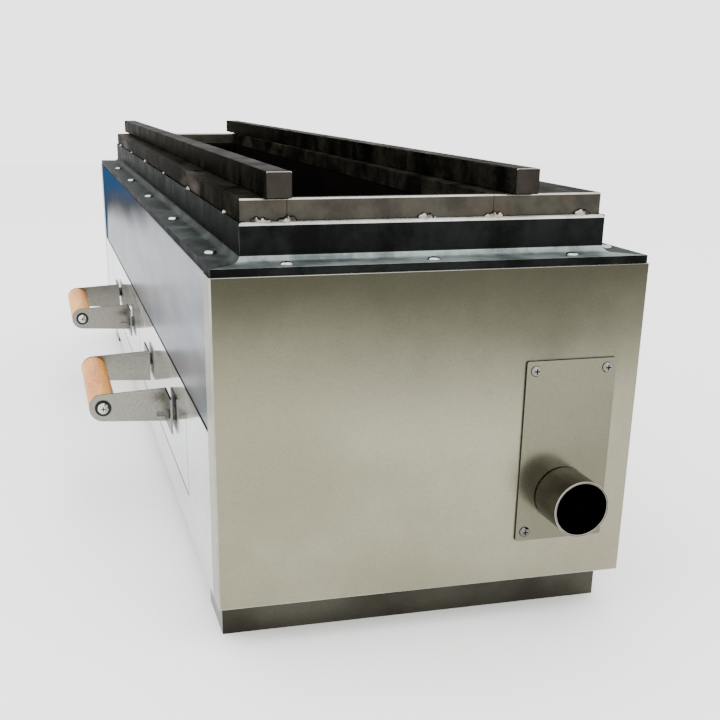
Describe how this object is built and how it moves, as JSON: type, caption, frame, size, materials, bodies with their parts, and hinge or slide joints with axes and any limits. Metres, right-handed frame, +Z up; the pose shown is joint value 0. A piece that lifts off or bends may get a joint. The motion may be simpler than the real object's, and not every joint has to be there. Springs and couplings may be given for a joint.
{
  "type": "charcoal yakitori grill",
  "caption": "Long stainless charcoal grill for skewers: brick-lined fire channel under a black steel frame, loose square skewer bars, ash drawers with wooden grips and an air inlet pipe.",
  "frame": {"origin": "on the floor under the middle of the outer box", "axes": "+X along the grill towards the end with the air pipe, +Y towards the back away from the drawers, +Z up; drawers pull out along -Y"},
  "size_m": [1.542, 0.492, 0.4232],
  "materials": {
    "stainless_satin": "satin brushed",
    "stainless_polished": "mirror polished",
    "stainless_inner": "mill finish",
    "stainless_handle": "bright cut strip",
    "zinc_fastener": "bright",
    "pipe_steel": "drawn tube",
    "black_steel": "heat-blackened",
    "weld_metal": "bare bead",
    "bar_steel": "hot-rolled",
    "fire_brick": "fired clay",
    "grate_iron": "cast",
    "fibre_board": "pressed fibre",
    "grip_wood": "turned and oiled"
  },
  "bodies": {
    "grill_body": {"end_panel_near": "stainless_satin", "end_panel_far": "stainless_satin", "back_panel": "stainless_satin", "foot_near": "stainless_satin", "foot_far": "stainless_satin", "inlet_plate": "stainless_satin", "front_band": "stainless_polished", "front_lower_panel": "stainless_polished", "joint_straps": "stainless_inner", "floor_plate": "stainless_inner", "bay_wall_near": "stainless_inner", "bay_wall_far": "stainless_inner", "bay_divider": "stainless_inner", "drawer_runners": "stainless_inner", "ash_guides": "stainless_inner", "ash_ridge": "stainless_inner", "air_plenum": "stainless_inner", "foot_bolts": "zinc_fastener", "frame_screws": "zinc_fastener", "inlet_screws": "zinc_fastener", "air_pipe": "pipe_steel", "frame_angle_front": "black_steel", "frame_angle_back": "black_steel", "frame_angle_near": "black_steel", "frame_angle_far": "black_steel", "rail_front": "black_steel", "rail_back": "black_steel", "end_bar_near": "black_steel", "end_bar_far": "black_steel", "fire_liner": "black_steel", "frame_welds": "weld_metal", "bricks_front": "fire_brick", "bricks_back": "fire_brick", "bricks_ends": "fire_brick", "grate_sections": "grate_iron", "insulation_front": "fibre_board", "insulation_back": "fibre_board", "inlet_gasket": "fibre_board"},
    "near_drawer": {"near_drawer_front": "stainless_polished", "near_ash_pan": "stainless_inner", "near_handle_strap_near": "stainless_handle", "near_handle_strap_far": "stainless_handle", "near_grip_screws": "zinc_fastener", "near_grip_washers": "zinc_fastener", "near_handle_studs": "zinc_fastener", "near_handle_spacers": "zinc_fastener", "near_handle_nuts": "zinc_fastener", "near_wooden_grip": "grip_wood"},
    "far_drawer": {"far_drawer_front": "stainless_polished", "far_ash_pan": "stainless_inner", "far_handle_strap_near": "stainless_handle", "far_handle_strap_far": "stainless_handle", "far_grip_screws": "zinc_fastener", "far_grip_washers": "zinc_fastener", "far_handle_studs": "zinc_fastener", "far_handle_spacers": "zinc_fastener", "far_handle_nuts": "zinc_fastener", "far_wooden_grip": "grip_wood"},
    "front_skewer_bar": {"skewer_bar_front": "bar_steel"},
    "back_skewer_bar": {"skewer_bar_back": "bar_steel"}
  },
  "joints": [
    {"name": "near_drawer_slide", "type": "slide", "parent": "grill_body", "child": "near_drawer", "axis": [0, -1, 0], "range_m": [0, 0.24]},
    {"name": "far_drawer_slide", "type": "slide", "parent": "grill_body", "child": "far_drawer", "axis": [0, -1, 0], "range_m": [0, 0.24]},
    {"name": "front_bar_shift", "type": "slide", "parent": "grill_body", "child": "front_skewer_bar", "axis": [0, 1, 0], "range_m": [-0.015, 0.08]},
    {"name": "back_bar_shift", "type": "slide", "parent": "grill_body", "child": "back_skewer_bar", "axis": [0, 1, 0], "range_m": [-0.095, 0.06]}
  ]
}
